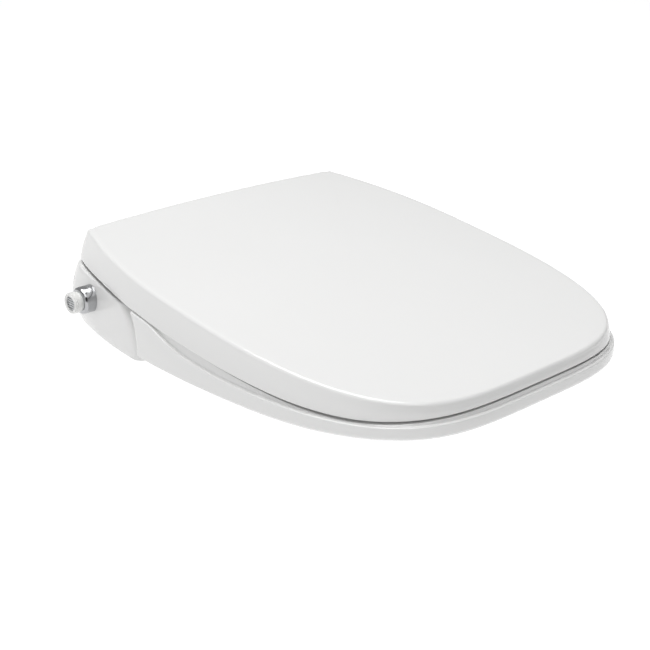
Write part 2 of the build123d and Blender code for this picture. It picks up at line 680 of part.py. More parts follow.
with BuildPart() as nozzle_tip:
    add(nozzle_rod(-13.8, 0, WAND_R))
    add(nozzle_rod(-15, -4.9, WAND_R - 1.38), mode=Mode.SUBTRACT)
    tip_top = nozzle_plane.from_local_coords(Vector(0, WAND_R, -3))
    with Locations(Plane(origin=tip_top, z_dir=nozzle_plane.y_dir)):
        with GridLocations(2.2, 2.2, 2, 2):
            Cylinder(0.4, 3, mode=Mode.SUBTRACT)
save(nozzle_tip, "nozzle_tip")

with BuildPart() as nozzle_gate:
    add(nozzle_brick((-11, 11), (-9, 9), (0, 2)))
    fillet(nozzle_gate.edges().group_by(SortBy.LENGTH)[0], radius=0.9)
save(nozzle_gate, "nozzle_gate")


def rack_tooth_row(count, first):
    """Side view of rack teeth: local x is the travel, local y is up."""
    points = []
    for index in range(count):
        middle = first + index * TOOTH_PITCH
        low = TOOTH_PITCH / 4 - 0.12 + DEDENDUM * FLANK
        high = TOOTH_PITCH / 4 - 0.12 - ADDENDUM * FLANK
        points += [(middle - low, PITCH_LINE - DEDENDUM), (middle - high, PITCH_LINE + ADDENDUM),
                   (middle + high, PITCH_LINE + ADDENDUM), (middle + low, PITCH_LINE - DEDENDUM)]
    return points


drive_side = Plane(origin=(DRIVE_SPAN[0], NOZZLE_Y, NOZZLE_Z), x_dir=nozzle_dir, z_dir=(1, 0, 0))
drive_flip = 1 if drive_side.y_dir.Z > 0 else -1
RACK_COUNT = 28
with BuildPart() as nozzle_rack:
    with BuildSketch(drive_side):
        with BuildLine():
            teeth = rack_tooth_row(RACK_COUNT, -WAND_LENGTH + 8)
            last = (teeth[-1][0] + 3, PITCH_LINE - DEDENDUM)
            first = (teeth[0][0] - 3, PITCH_LINE - DEDENDUM)
            outline = [first, *teeth, last, (last[0], PITCH_LINE - 3.2), (first[0], PITCH_LINE - 3.2)]
            Polyline(*[(x, y * drive_flip) for x, y in outline], close=True)
        make_face()
    extrude(amount=DRIVE_SPAN[1] - DRIVE_SPAN[0])
    rack_back = (PITCH_LINE - 3.2, PITCH_LINE - DEDENDUM)
    add(nozzle_brick((4.2, 6.5), rack_back, (-WAND_LENGTH + 4, -6)))
    add(nozzle_rod(-WAND_LENGTH - 1, 5, WAND_R), mode=Mode.SUBTRACT)
save(nozzle_rack, "nozzle_rack")

pinion_centre = drive_side.from_local_coords(Vector(PINION_Z, (PITCH_LINE + PITCH_R) * drive_flip, 0))
pinion_plane = Plane(origin=pinion_centre, x_dir=nozzle_dir, z_dir=(1, 0, 0))
# The rack's phase below the pinion: a pinion tooth stands half a pitch from a rack tooth.
rack_phase = ((PINION_Z + WAND_LENGTH - 8) / TOOTH_PITCH) % 1.0
first_tooth = drive_flip * (-90 + (0.5 - rack_phase) * 360 / GEAR_TEETH)
pinion_tooth = [
    (PITCH_R - DEDENDUM - 0.3, -0.85), (PITCH_R, -0.56), (PITCH_R + ADDENDUM, -0.24),
    (PITCH_R + ADDENDUM, 0.24), (PITCH_R, 0.56), (PITCH_R - DEDENDUM - 0.3, 0.85),
]
with BuildPart() as nozzle_pinion:
    with BuildSketch(pinion_plane):
        Circle(PITCH_R - DEDENDUM)
        with PolarLocations(0, GEAR_TEETH, start_angle=first_tooth):
            Polygon(*pinion_tooth, align=None)
    extrude(amount=DRIVE_SPAN[1] - DRIVE_SPAN[0])
    with BuildSketch(pinion_plane.offset(-0.2)):
        Circle(SHAFT_R)
    extrude(amount=10)
save(nozzle_pinion, "nozzle_pinion")

with BuildPart() as nozzle_motor:
    with BuildSketch(pinion_plane.offset(4.6)):
        Circle(MOTOR_R)
    extrude(amount=MOTOR_LENGTH)
    with BuildSketch(pinion_plane.offset(4.6)):
        Circle(SHAFT_R + 0.05)
    extrude(amount=6, mode=Mode.SUBTRACT)
    foot_span = (pinion_centre.Y - 6, pinion_centre.Y + 6)
    add(brick((13, 28), foot_span, (BASE_TOP, pinion_centre.Z - 6)))
save(nozzle_motor, "nozzle_motor")


# ---- electrics -----------------------------------------------------------------------------------

with BuildPart() as control_board:
    add(brick(BOARD_X, BOARD_Y, BOARD_Z))
save(control_board, "control_board")

# Relays, the controller, the transformer and connectors: place, width, depth and height.
component_blocks = [
    (60, -60, 16, 12, 14), (60, -38, 16, 12, 14), (92, -48, 14, 14, 2.4),
    (128, -60, 20, 14, 16), (112, -33, 8, 6, 6), (134, -36, 10, 8, 9),
]
capacitor_places = [(78, -66), (78, -30)]
with BuildPart() as board_components:
    for x, y, width, depth, height in component_blocks:
        with Locations((x, y, BOARD_Z[1])):
            Box(width, depth, height, align=(Align.CENTER, Align.CENTER, Align.MIN))
    for x, y in capacitor_places:
        add(post(x, y, BOARD_Z[1], 33, 5))
save(board_components, "board_components")

with BuildPart() as power_supply:
    add(brick(SUPPLY_X, SUPPLY_Y, (BASE_TOP, SUPPLY_TOP)))
    fillet(power_supply.edges().filter_by(Axis.Z), radius=3)
    add(brick((110, 136), (-1, 21), (SUPPLY_TOP, 46)))
save(power_supply, "power_supply")

with BuildPart() as cord_gland:
    with Locations(Plane(origin=(CORD_X, GLAND_Y, CORD_Z), z_dir=(0, 1, 0))):
        Cylinder(GLAND_R - 0.05, GLAND_LENGTH)
        Cylinder(CORD_R, GLAND_LENGTH, mode=Mode.SUBTRACT)
    with Locations(Plane(origin=(CORD_X, COLLAR_Y, CORD_Z), z_dir=(0, 1, 0))):
        Cylinder(COLLAR_R, COLLAR_THICK)
        Cylinder(CORD_R, COLLAR_THICK, mode=Mode.SUBTRACT)
save(cord_gland, "cord_gland")

with BuildPart() as power_button:
    add(rod(171.5, 180.5, BUTTON_Y, BUTTON_Z, BUTTON_R))
    fillet(power_button.edges().group_by(Axis.X)[-1], radius=1)
    add(rod(170, 171.5, BUTTON_Y, BUTTON_Z, BUTTON_R + 1.2))
save(power_button, "power_button")

with BuildPart() as power_switch:
    add(brick((156, 162), (BUTTON_Y - 6, BUTTON_Y + 6), (BASE_TOP, BUTTON_Z + 6)))
    add(rod(162, 166.4, BUTTON_Y, BUTTON_Z, 2.5))
save(power_switch, "power_switch")

with BuildPart() as receiver_window:
    add(rod(176, 181.6, WINDOW_Y, BUTTON_Z, WINDOW_R - 0.05))
    fillet(receiver_window.edges().group_by(Axis.X)[-1], radius=0.8)
save(receiver_window, "receiver_window")
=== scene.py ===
"""Looks of the electric bidet seat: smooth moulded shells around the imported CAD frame, in metres.

Shell shapes are worked out in millimetres, in the frame's own axes (+Z up, -Y to the front, +X to the
user's left), and scaled to metres as each mesh is made.
"""

import math

import bmesh
import bpy
import numpy as np
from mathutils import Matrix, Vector


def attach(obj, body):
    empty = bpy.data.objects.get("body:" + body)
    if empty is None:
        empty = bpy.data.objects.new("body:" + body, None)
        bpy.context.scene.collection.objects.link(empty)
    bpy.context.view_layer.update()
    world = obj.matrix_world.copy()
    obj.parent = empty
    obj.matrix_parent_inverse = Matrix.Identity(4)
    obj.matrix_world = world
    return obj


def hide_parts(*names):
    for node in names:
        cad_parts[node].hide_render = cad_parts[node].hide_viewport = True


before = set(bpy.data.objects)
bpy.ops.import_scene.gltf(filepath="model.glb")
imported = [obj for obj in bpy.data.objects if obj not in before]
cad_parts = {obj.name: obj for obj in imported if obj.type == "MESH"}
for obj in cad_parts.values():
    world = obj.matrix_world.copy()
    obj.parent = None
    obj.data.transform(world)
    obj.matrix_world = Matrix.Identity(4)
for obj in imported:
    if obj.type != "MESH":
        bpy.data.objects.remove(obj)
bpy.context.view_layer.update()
MM = 0.001
COLUMN_GAP = 0.3  # least distance from the end of a corner's arc to the next column of points

# ---- driving dimensions, millimetres -------------------------------------------------------------

LID_REAR, LID_TOP = 28.0, 94.0  # y and height of the lid's rear edge
LID_LENGTH = 431.8  # seen from above
LID_SLOPE = math.tan(math.radians(7.0))
LID_REAR_HALF, LID_HALF = 158.0, 185.0  # half width at the rear edge and at the widest place
LID_WIDEST = 166.0  # distance from the rear edge to the widest place
LID_MIDDLE = np.array([0.0, -185.0])
SIDE_POWER, FRONT_POWER_X, FRONT_POWER_Y = 2.13, 3.89, 2.94
LID_CROWN = 3.9
CROWN_FADE_FROM = 0.35  # share of the length from which the crown flattens towards the front
LID_WALL = 3.0
LID_DRAFT = 0.133  # sideways growth of the walls per mm of depth
LID_LEAST_FLARE, LID_REAR_FLARE = 1.8, 0.4  # growth where the walls are shallow, and along the rear edge
LID_CORNER_FLARE = 3.6  # extra growth at the rear corners
LID_EDGE_R = 3.6
LID_SWEEP = (2.5, 10)  # distances from a rear corner over which the lower edge rises to the rear lip
LID_TURN_IN = (8, 40)  # distances from a rear corner over which the walls lose their flare
REAR_LIP = 5.0
CORNER_R = 2.4
LUG_R, LUG_X = 7.6, (141.7, 151.8)  # the hinge ears, left and right

SEAT_GROW = 5.5  # beyond the lid's outline
SEAT_PLATE_TOP = 16.7
SEAT_FRONT_EDGE_R, SEAT_REAR_EDGE_R = 4.0, 1.2  # rounding of the lower edge
SEAT_LIP = 2.8  # width of the lip that stands down around the closing plate
SEAT_CORNER_R = 2.5
SEAT_LEAN = 40  # how far forward of the seam the seat's sides start to lean with it
SEAT_CEILING = 59  # greatest height of the seat's rear edge
LEDGE_R = 1.3  # rounding of the seat's upper outer edge
TUNNEL_HALF, TUNNEL_TOP = 26.5, 33.0  # the passage through the seat's rear for the wash wand
OPENING_HALF, OPENING_FRONT, OPENING_REAR = 105.0, -346.0, -112.0
OPENING_MIDDLE = (OPENING_FRONT + OPENING_REAR) / 2
OPENING_POWER = 2.3
RIM_SOFT, RIM_DEPTH, RIM_DIP = 9, 8, 3.2  # width and depth of the opening's rounding, and the slope into it
ARM_R, ARM_X = 8.3, (128.7, 140.9)  # the seat's hinge arms, left and right

HINGE_Y, HINGE_Z = 24.0, 80.0
BARREL_R, BARREL_HALF = 9, 127.9

# Side-view curves as (y, z). The lid's edge, the raised ring and the seam are the CAD model's. The seat's
# side, its lower edge and the shoulder differ from it a little, to follow the photograph.
LID_LOW_EDGE = [(28, 64), (-40, 56.5), (-110, 48.5), (-180, 40.5), (-250, 34), (-310, 29.5),
                (-350, 28.3), (-385, 29.7), (-420, 33)]
SEAT_SIDE_TOP = [(-60, 54), (-82, 51.2), (-116, 47), (-126, 44), (-140, 38.5), (-160, 33.5), (-202, 29),
                 (-268, 26.5), (-340, 25.5), (-420, 26)]
SEAT_RAISED = [(-60, 62), (-82, 60), (-122, 54), (-160, 46.5), (-210, 39.5), (-270, 35), (-345, 32.5),
               (-420, 31)]
SEAT_SKIRT = [(-440, 13.4), (-400, 13.6), (-375, 13.8), (-345, 12.8), (-310, 11.5), (-260, 10.4),
              (-200, 10), (-130, 9.2), (-60, 8.5)]
# The seam between seat and housing, as (z, y).
SEAM = [(-2, -94.5), (10, -94.6), (24, -93.9), (34, -92.3), (43, -90), (49, -86.6), (54, -82.5), (64, -75)]
SEAM_MIDDLE_Z = 30.0  # the height at which the outlines of seat and housing are drawn
SHOULDER = [(-112, 47.6), (-79, 51.4), (-43, 55.6), (-10, 59.2), (12, 61.5), (28, 62), (38, 56.5),
            (43.5, 46), (47, 28), (49, 8)]
COVER_TOP = 62.0
COVER_GAP = 1.3
COVER_WALL = 2.8
COVER_EDGE_R, COVER_REAR_EDGE_R = 1.8, 7.0  # rounding of the shoulder, at the sides and at the rear
COVER_MIDDLE = np.array([0.0, -22.0])
# The housing's outline as (x, y), from the rear middle to the front, at three heights.
COVER_SECTIONS = {
    0: [(0, 47), (128, 47), (149, 45.5), (161.5, 40), (167, 30), (171, 15), (175.3, -5), (180.6, -35),
        (184.2, -70), (186, -104)],
    34: [(0, 49), (126, 49), (149, 48.5), (163, 45.5), (172, 38.5), (177, 27), (178.6, 12), (180.7, -20),
         (184.4, -72), (186, -104)],
    66: [(0, 41), (128, 41), (149, 40.5), (159, 38), (164.4, 31), (167.8, 20), (170.9, 5), (176.7, -35),
         (182.2, -76), (184.6, -104)],
}
# Radius of the housing's front corners at each height, which grows upwards.
COVER_CORNER_Z = [0, 14, 24, 36, 44, 52]
COVER_CORNER_R = [10.5, 12, 14, 18, 23, 26]


# ---- curves --------------------------------------------------------------------------------------


def curve_through(points, count=400):
    """A smooth curve through points, as a dense array; each slope weighs both neighbours by distance."""
    p = np.array(points, float)
    p = np.vstack([2 * p[0] - p[1], p, 2 * p[-1] - p[-2]])
    steps = max(count // (len(p) - 3), 4)
    out = []
    for i in range(1, len(p) - 2):
        step_in, step, step_out = p[i] - p[i - 1], p[i + 1] - p[i], p[i + 2] - p[i + 1]
        before, here, after = (np.linalg.norm(part) for part in (step_in, step, step_out))
        m0 = (step / here * before + step_in / before * here) / (before + here) * here
        m1 = (step_out / after * here + step / here * after) / (after + here) * here
        for t in np.linspace(0, 1, steps, endpoint=False):
            t2, t3 = t * t, t * t * t
            out.append((2 * t3 - 3 * t2 + 1) * p[i] + (t3 - 2 * t2 + t) * m0
                       + (3 * t2 - 2 * t3) * p[i + 1] + (t3 - t2) * m1)
    out.append(p[-2])
    return np.array(out)


def height_along(points):
    """The second coordinate of a curve through points, as a function of the first."""
    dense = curve_through(points)
    order = np.argsort(dense[:, 0])
    return lambda value: np.interp(value, dense[order, 0], dense[order, 1])


lid_low = height_along(LID_LOW_EDGE)
seat_side_top = height_along(SEAT_SIDE_TOP)
seat_raised = height_along(SEAT_RAISED)
seam_y = height_along(SEAM)


def seat_skirt(y):
    """Height of the seat's lower edge at y."""
    return np.interp(y, [p[0] for p in SEAT_SKIRT], [p[1] for p in SEAT_SKIRT])


def resample(points, count):
    """count points evenly spaced along an open polyline, both ends kept."""
    gaps = np.r_[0, np.cumsum(np.linalg.norm(np.diff(points, axis=0), axis=1))]
    at = np.linspace(0, gaps[-1], count)
    return np.c_[np.interp(at, gaps, points[:, 0]), np.interp(at, gaps, points[:, 1])]


def smooth_step(value, low, high):
    """0 below low, 1 above high, with a smooth rise between them."""
    t = np.clip((value - low) / (high - low), 0, 1)
    return t * t * (3 - 2 * t)


def d_side(grow):
    """Dense right half of the D outline from the rear corner to the front middle."""
    side_points, front_points = 300, 1500
    back = np.linspace(0, LID_WIDEST, side_points)
    pull = ((LID_WIDEST - back) / LID_WIDEST) ** SIDE_POWER
    side = np.c_[LID_HALF + grow - (LID_HALF - LID_REAR_HALF) * pull, LID_REAR - back]
    turn = np.linspace(0, 1, front_points) ** 2 * math.pi / 2
    x = (LID_HALF + grow) * np.clip(np.cos(turn), 0, 1) ** (2 / FRONT_POWER_X)
    y = LID_WIDEST + (LID_LENGTH + grow - LID_WIDEST) * np.sin(turn) ** (2 / FRONT_POWER_Y)
    return np.vstack([side, np.c_[x, LID_REAR - y][1:]])


def rounded_corner(corner, before, after, radius, count):
    """Points of an arc that rounds the corner between the directions to before and after."""
    a = (np.array(before) - corner) / np.linalg.norm(np.array(before) - corner)
    b = (np.array(after) - corner) / np.linalg.norm(np.array(after) - corner)
    half = math.acos(np.clip(a @ b, -1, 1)) / 2
    centre = corner + (a + b) / np.linalg.norm(a + b) * radius / math.sin(half)
    start, end = corner + a * radius / math.tan(half), corner + b * radius / math.tan(half)
    first = math.atan2(*(start - centre)[::-1])
    last = math.atan2(*(end - centre)[::-1])
    sweep = (last - first + math.pi) % (2 * math.pi) - math.pi
    angles = first + sweep * np.linspace(0, 1, count)
    return centre + radius * np.c_[np.cos(angles), np.sin(angles)]


def mirrored_loop(right):
    """A closed loop from its right half, which runs from the rear middle to the front middle."""
    left = right[-2:0:-1] * [-1, 1]
    return np.vstack([right, left])


def normals_of(loop):
    """Outward normals of a closed loop that runs clockwise seen from above."""
    tangent = np.roll(loop, -1, axis=0) - np.roll(loop, 1, axis=0)
    normal = np.c_[-tangent[:, 1], tangent[:, 0]]
    return normal / np.linalg.norm(normal, axis=1)[:, None]


def pushed(loop, out, offset):
    """The loop moved along its normals by offset, which may differ from column to column."""
    return loop + out * np.asarray(offset).reshape(-1, 1)


# ---- meshes --------------------------------------------------------------------------------------

MERGE_DISTANCE = 1e-7  # metres
BEVEL_FROM_ANGLE = 35  # edges sharper than this are rounded
CREASE_ANGLE = 50  # edges sharper than this stay hard in a rounded piece

def make_object(name, verts, faces, material, smooth_angle=40):
    """A mesh object from millimetre points."""
    mesh = bpy.data.meshes.new(name)
    mesh.from_pydata([tuple(float(c) * MM for c in v) for v in verts], [], faces)
    mesh.validate()
    obj = bpy.data.objects.new(name, mesh)
    bpy.context.scene.collection.objects.link(obj)
    fix = bmesh.new()
    fix.from_mesh(mesh)
    bmesh.ops.remove_doubles(fix, verts=fix.verts, dist=MERGE_DISTANCE)
    bmesh.ops.recalc_face_normals(fix, faces=fix.faces)
    fix.to_mesh(mesh)
    fix.free()
    mesh.materials.append(material)
    shade(obj, smooth_angle)
    return obj


def shade(obj, smooth_angle):
    """Smooth shading, with hard edges where faces meet more sharply than smooth_angle."""
    mesh = obj.data
    mesh.polygons.foreach_set("use_smooth", [True] * len(mesh.polygons))
    mesh.set_sharp_from_angle(angle=math.radians(smooth_angle))
    mesh.update()


def ring_faces(rings, around, closed_section=False):
    """Quads between consecutive rings of the same number of points."""
    faces = []
    pairs = [(r, r + 1) for r in range(rings - 1)]
    if closed_section:
        pairs.append((rings - 1, 0))
    for low, high in pairs:
        for i in range(around):
            j = (i + 1) % around
            faces.append((low * around + i, low * around + j, high * around + j, high * around + i))
    return faces


def bowl_mesh(name, rings, first_centre, last_centre, material, smooth_angle=40):
    """A closed skin: rings of points, closed by a fan at each end."""
    around = len(rings[0])
    verts = np.vstack(rings)
    faces = ring_faces(len(rings), around)
    first, last = len(verts), len(verts) + 1
    verts = np.vstack([verts, first_centre, last_centre])
    base = (len(rings) - 1) * around
    for i in range(around):
        j = (i + 1) % around
        faces.append((j, i, first))
        faces.append((base + i, base + j, last))
    return make_object(name, verts, faces, material, smooth_angle)


def lathe(name, profile, axis_origin, axis, material, segments, smooth_angle):
    """A body of revolution. profile is a closed line of (distance along the axis, radius)."""
    axis = Vector(axis).normalized()
    side = axis.orthogonal().normalized()
    other = axis.cross(side)
    verts = []
    for along, radius in profile:
        centre = Vector(axis_origin) + axis * along
        for i in range(segments):
            turn = 2 * math.pi * i / segments
            verts.append(centre + (side * math.cos(turn) + other * math.sin(turn)) * radius)
    return make_object(name, verts, ring_faces(len(profile), segments), material, smooth_angle)


def extruded(name, outline, x_from, x_to, material, bevel):
    """A plate between two x values with a (y, z) outline and rounded edges."""
    low, high = sorted((x_from, x_to))
    count = len(outline)
    verts = [(low, y, z) for y, z in outline] + [(high, y, z) for y, z in outline]
    faces = [tuple(range(count))[::-1], tuple(range(count, 2 * count))]
    faces += [(i, (i + 1) % count, count + (i + 1) % count, count + i) for i in range(count)]
    obj = make_object(name, verts, faces, material)
    round_edges(obj, bevel)
    return obj


def round_edges(obj, width):
    """Applies a bevel of width millimetres to the sharp edges."""
    modifier = obj.modifiers.new("rounded", "BEVEL")
    modifier.width = width * MM
    modifier.segments = 4
    modifier.limit_method = "ANGLE"
    modifier.angle_limit = math.radians(BEVEL_FROM_ANGLE)
    modifier.harden_normals = False
    bake_modifiers(obj)
    shade(obj, CREASE_ANGLE)


def bake_modifiers(obj):
    """Replaces the mesh by its modified form."""
    graph = bpy.context.evaluated_depsgraph_get()
    mesh = bpy.data.meshes.new_from_object(obj.evaluated_get(graph))
    obj.modifiers.clear()
    obj.data = mesh


def cut_away(obj, cutter):
    """Cuts the cutter's shape out of obj and deletes the cutter."""
    modifier = obj.modifiers.new("cut", "BOOLEAN")
    modifier.operation = "DIFFERENCE"
    modifier.solver = "EXACT"
    modifier.object = cutter
    bake_modifiers(obj)
    bpy.data.objects.remove(cutter)


# ---- materials -----------------------------------------------------------------------------------

COAT_ROUGHNESS = 0.06
FINE_DETAIL, WIDE_DETAIL = 3, 2
WIDE_NOISE_SCALE = 9  # of the slow colour variation, per metre
BUMP_DISTANCE = 0.0002

def plain_material(name, colour, roughness, metallic=0.0, coat=0.0):
    """A Principled material with one colour and one roughness all over."""
    material = bpy.data.materials.new(name)
    material.use_nodes = True
    shader = material.node_tree.nodes["Principled BSDF"]
    shader.inputs["Base Color"].default_value = (*colour, 1)
    shader.inputs["Roughness"].default_value = roughness
    shader.inputs["Metallic"].default_value = metallic
    shader.inputs["Coat Weight"].default_value = coat
    shader.inputs["Coat Roughness"].default_value = COAT_ROUGHNESS
    shader.inputs["IOR"].default_value = 1.5
    return material


def moulded(
    name, colour, roughness, scale, colour_spread, rough_range, bump, stretch=(1, 1, 1), **shader_values
):
    """A material with fine noise in object space: colour variation, roughness range and bump."""
    material = plain_material(name, colour, roughness, **shader_values)
    nodes, links = material.node_tree.nodes, material.node_tree.links
    shader = nodes["Principled BSDF"]
    place = nodes.new("ShaderNodeTexCoord")
    mapping = nodes.new("ShaderNodeMapping")
    mapping.inputs["Scale"].default_value = stretch
    links.new(place.outputs["Object"], mapping.inputs["Vector"])
    fine = nodes.new("ShaderNodeTexNoise")
    fine.inputs["Scale"].default_value = scale
    fine.inputs["Detail"].default_value = FINE_DETAIL
    links.new(mapping.outputs["Vector"], fine.inputs["Vector"])
    wide = nodes.new("ShaderNodeTexNoise")
    wide.inputs["Scale"].default_value = WIDE_NOISE_SCALE
    wide.inputs["Detail"].default_value = WIDE_DETAIL
    links.new(place.outputs["Object"], wide.inputs["Vector"])
    ramp = nodes.new("ShaderNodeMix")
    ramp.data_type = "RGBA"
    ramp.inputs["A"].default_value = (*[c * (1 - colour_spread) for c in colour], 1)
    ramp.inputs["B"].default_value = (*colour, 1)
    links.new(wide.outputs["Fac"], ramp.inputs["Factor"])
    links.new(ramp.outputs["Result"], shader.inputs["Base Color"])
    rough = nodes.new("ShaderNodeMapRange")
    rough.inputs["To Min"].default_value = rough_range[0]
    rough.inputs["To Max"].default_value = rough_range[1]
    links.new(fine.outputs["Fac"], rough.inputs["Value"])
    links.new(rough.outputs["Result"], shader.inputs["Roughness"])
    bumped = nodes.new("ShaderNodeBump")
    bumped.inputs["Strength"].default_value = bump
    bumped.inputs["Distance"].default_value = BUMP_DISTANCE
    links.new(fine.outputs["Fac"], bumped.inputs["Height"])
    links.new(bumped.outputs["Normal"], shader.inputs["Normal"])
    return material


gloss_white = moulded("gloss_white", (0.8, 0.8, 0.795), 0.18, 60, 0.012, (0.15, 0.21), 0.02, coat=0.3)
satin_white = moulded("satin_white", (0.78, 0.78, 0.775), 0.4, 900, 0.02, (0.34, 0.46), 0.25)
plate_grey = moulded("plate_grey", (0.58, 0.59, 0.6), 0.5, 1100, 0.04, (0.42, 0.58), 0.35)
rubber_clear = moulded("rubber_clear", (0.72, 0.73, 0.72), 0.5, 700, 0.04, (0.4, 0.6), 0.2)
rubber_grey = moulded("rubber_grey", (0.17, 0.175, 0.18), 0.7, 900, 0.1, (0.6, 0.8), 0.3)
chrome = moulded("chrome", (0.46, 0.465, 0.475), 0.06, 120, 0.01, (0.16, 0.22), 0.01, metallic=1.0)
# The steel's noise is stretched along X, like the marks of a lathe.
steel = moulded(
    "steel", (0.56, 0.57, 0.58), 0.3, 500, 0.05, (0.22, 0.38), 0.12, stretch=(0.05, 1, 1), metallic=1.0
)
thread_white = moulded("thread_white", (0.8, 0.8, 0.79), 0.35, 800, 0.03, (0.28, 0.42), 0.15)
dark_plastic = moulded("dark_plastic", (0.05, 0.05, 0.055), 0.45, 900, 0.15, (0.38, 0.55), 0.25)
grey_plastic = moulded("grey_plastic", (0.22, 0.225, 0.23), 0.45, 900, 0.1, (0.38, 0.55), 0.25)
board_green = moulded("board_green", (0.02, 0.16, 0.06), 0.35, 300, 0.2, (0.28, 0.42), 0.1)
window_smoke = moulded("window_smoke", (0.03, 0.012, 0.018), 0.1, 80, 0.1, (0.08, 0.13), 0.01, coat=0.5)
foil = moulded("foil", (0.7, 0.71, 0.72), 0.3, 300, 0.05, (0.25, 0.4), 0.3, metallic=1.0)

NODE_FINISH = {
    "seat_base": satin_white, "housing_base": satin_white, "nozzle_wand": satin_white,
    "nozzle_guide": satin_white, "power_button": satin_white, "mounting_plate": plate_grey,
    "lid_bumpers": rubber_clear, "nozzle_hose": rubber_clear, "seat_bumpers": rubber_grey,
    "inlet_seal": rubber_clear, "cord_gland": rubber_grey, "inlet_filter": steel, "lid_hinge_pin": steel,
    "seat_hinge_pin": steel, "base_screws": steel, "heater_element": steel, "nozzle_feed_tube": steel,
    "nozzle_motor": steel, "nozzle_tip": steel, "nozzle_gate": gloss_white, "seat_heater_foil": foil,
    "lid_damper": grey_plastic, "seat_damper": grey_plastic, "solenoid_valve": grey_plastic,
    "flow_sensor": grey_plastic, "nozzle_rack": grey_plastic, "nozzle_pinion": grey_plastic,
    "water_heater": dark_plastic, "board_components": dark_plastic, "power_supply": dark_plastic,
    "power_switch": dark_plastic, "control_board": board_green, "receiver_window": window_smoke,
}
for node, material in NODE_FINISH.items():
    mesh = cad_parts[node].data
    mesh.materials.clear()
    mesh.materials.append(material)


# ---- lid -----------------------------------------------------------------------------------------

side_dense = d_side(0)


def half_width_at(y):
    """Half width of the lid's outline at y."""
    order = np.argsort(side_dense[:, 1])
    return np.interp(y, side_dense[order, 1], side_dense[order, 0])


def lid_surface(x, y):
    """Height of the lid's crowned top."""
    half = np.maximum(half_width_at(y), 1)
    along = np.clip((LID_REAR - y) / LID_LENGTH, 0, 1)
    crown = np.clip(1 - (x / half) ** 2, 0, 1) * (1 - smooth_step(along, CROWN_FADE_FROM, 1.0))
    return LID_TOP + (y - LID_REAR) * LID_SLOPE + LID_CROWN * crown


def lid_loop():
    """The lid's outline with rounded rear corners, as a closed loop of columns."""
    arc = rounded_corner(side_dense[0], (0, LID_REAR), side_dense[20], CORNER_R, 8)
    start = arc[-1]
    rest = side_dense[side_dense[:, 1] < start[1] - COLUMN_GAP]
    # The columns stand closer together over the last stretch of the rear edge, where the walls turn in.
    close_from = LID_REAR_HALF - 14
    rear_x = np.r_[np.linspace(0, close_from, 24), np.linspace(close_from, arc[0][0], 12)[1:-1]]
    rear = np.c_[rear_x, np.full(len(rear_x), LID_REAR)]
    sides = resample(np.vstack([start, rest]), 150)[1:]
    return mirrored_loop(np.vstack([rear, arc, sides]))


def build_lid():
    loop = lid_loop()
    out = normals_of(loop)
    x, y = loop[:, 0], loop[:, 1]
    top = lid_surface(x, y)
    # The back is open: the walls turn in at the corners and their edge sweeps up to a thin lip.
    on_rear_edge = y > LID_REAR - 1
    sweep_from, sweep_to = (-(LID_REAR_HALF - distance) for distance in LID_SWEEP)
    at_back = smooth_step(-np.abs(x), sweep_from, sweep_to) * on_rear_edge
    low = lid_low(y) * (1 - at_back) + (top - REAR_LIP) * at_back
    turn_from, turn_to = (-(LID_REAR_HALF - distance) for distance in LID_TURN_IN)
    inward = smooth_step(-np.abs(x), turn_from, turn_to) * on_rear_edge
    corner_reach, corner_from, corner_to = 45, 100, 150
    near_rear = np.exp(-(((y - LID_REAR) / corner_reach) ** 2))
    at_corner = near_rear * smooth_step(np.abs(x), corner_from, corner_to)
    flare = np.maximum(LID_DRAFT * (top - low), LID_LEAST_FLARE) + LID_CORNER_FLARE * at_corner
    flare = flare * (1 - inward) + LID_REAR_FLARE * inward
    rings = []

    def ring(offset, z):
        rings.append(np.c_[pushed(loop, out, offset), z])

    def flat_ring(edge, share, depth):
        """A ring on the crowned surface, or depth under it, at a share of the way to the edge."""
        flat = LID_MIDDLE + (edge - LID_MIDDLE) * share
        rings.append(np.c_[flat, lid_surface(flat[:, 0], flat[:, 1]) - depth])

    # Outside: the top from its middle outwards, the rounded edge, the flaring wall and the lower lip.
    radius = np.minimum(LID_EDGE_R, (top - low) * 0.35)
    for share in (0.06, 0.14, 0.24, 0.36, 0.48, 0.6, 0.7, 0.79, 0.87, 0.93, 0.975):
        flat_ring(loop - out * LID_EDGE_R, share, 0)
    for step in range(7):
        angle = math.radians(90 - step * 13.5)
        ring(-radius * (1 - math.cos(angle)), lid_edge_height(loop, out, radius, angle, top))
    bulge_power = 1.6
    for t in (0.06, 0.14, 0.24, 0.36, 0.5, 0.64, 0.78, 0.9, 0.97):
        ring(flare * (1 - (1 - t) ** bulge_power), (top - radius) * (1 - t) + (low + 1.1) * t)
    for inset, rise in ((0, 0.7), (0.25, 0.2), (0.9, 0), (LID_WALL - 0.7, 0), (LID_WALL - 0.1, 0.5)):
        ring(flare - inset, low + rise)
    # Inside: up the wall, and back to the middle under the top.
    ceiling = top - LID_WALL
    for t in (0.04, 0.3, 0.6, 0.9):
        ring(flare * (1 - t) - LID_WALL, low * (1 - t) + (ceiling - 2) * t + (1.2 * (1 - t)))
    for share in (1.0, 0.97, 0.9, 0.8, 0.65, 0.48, 0.3, 0.12):
        flat_ring(loop - out * (LID_WALL + 2.5), share, LID_WALL)
    middle_top = lid_surface(*LID_MIDDLE)
    lid = bowl_mesh(
        "lid_body", rings, (*LID_MIDDLE, middle_top), (*LID_MIDDLE, middle_top - LID_WALL), gloss_white, 60
    )
    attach(lid, "lid")
    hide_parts("lid_shell")


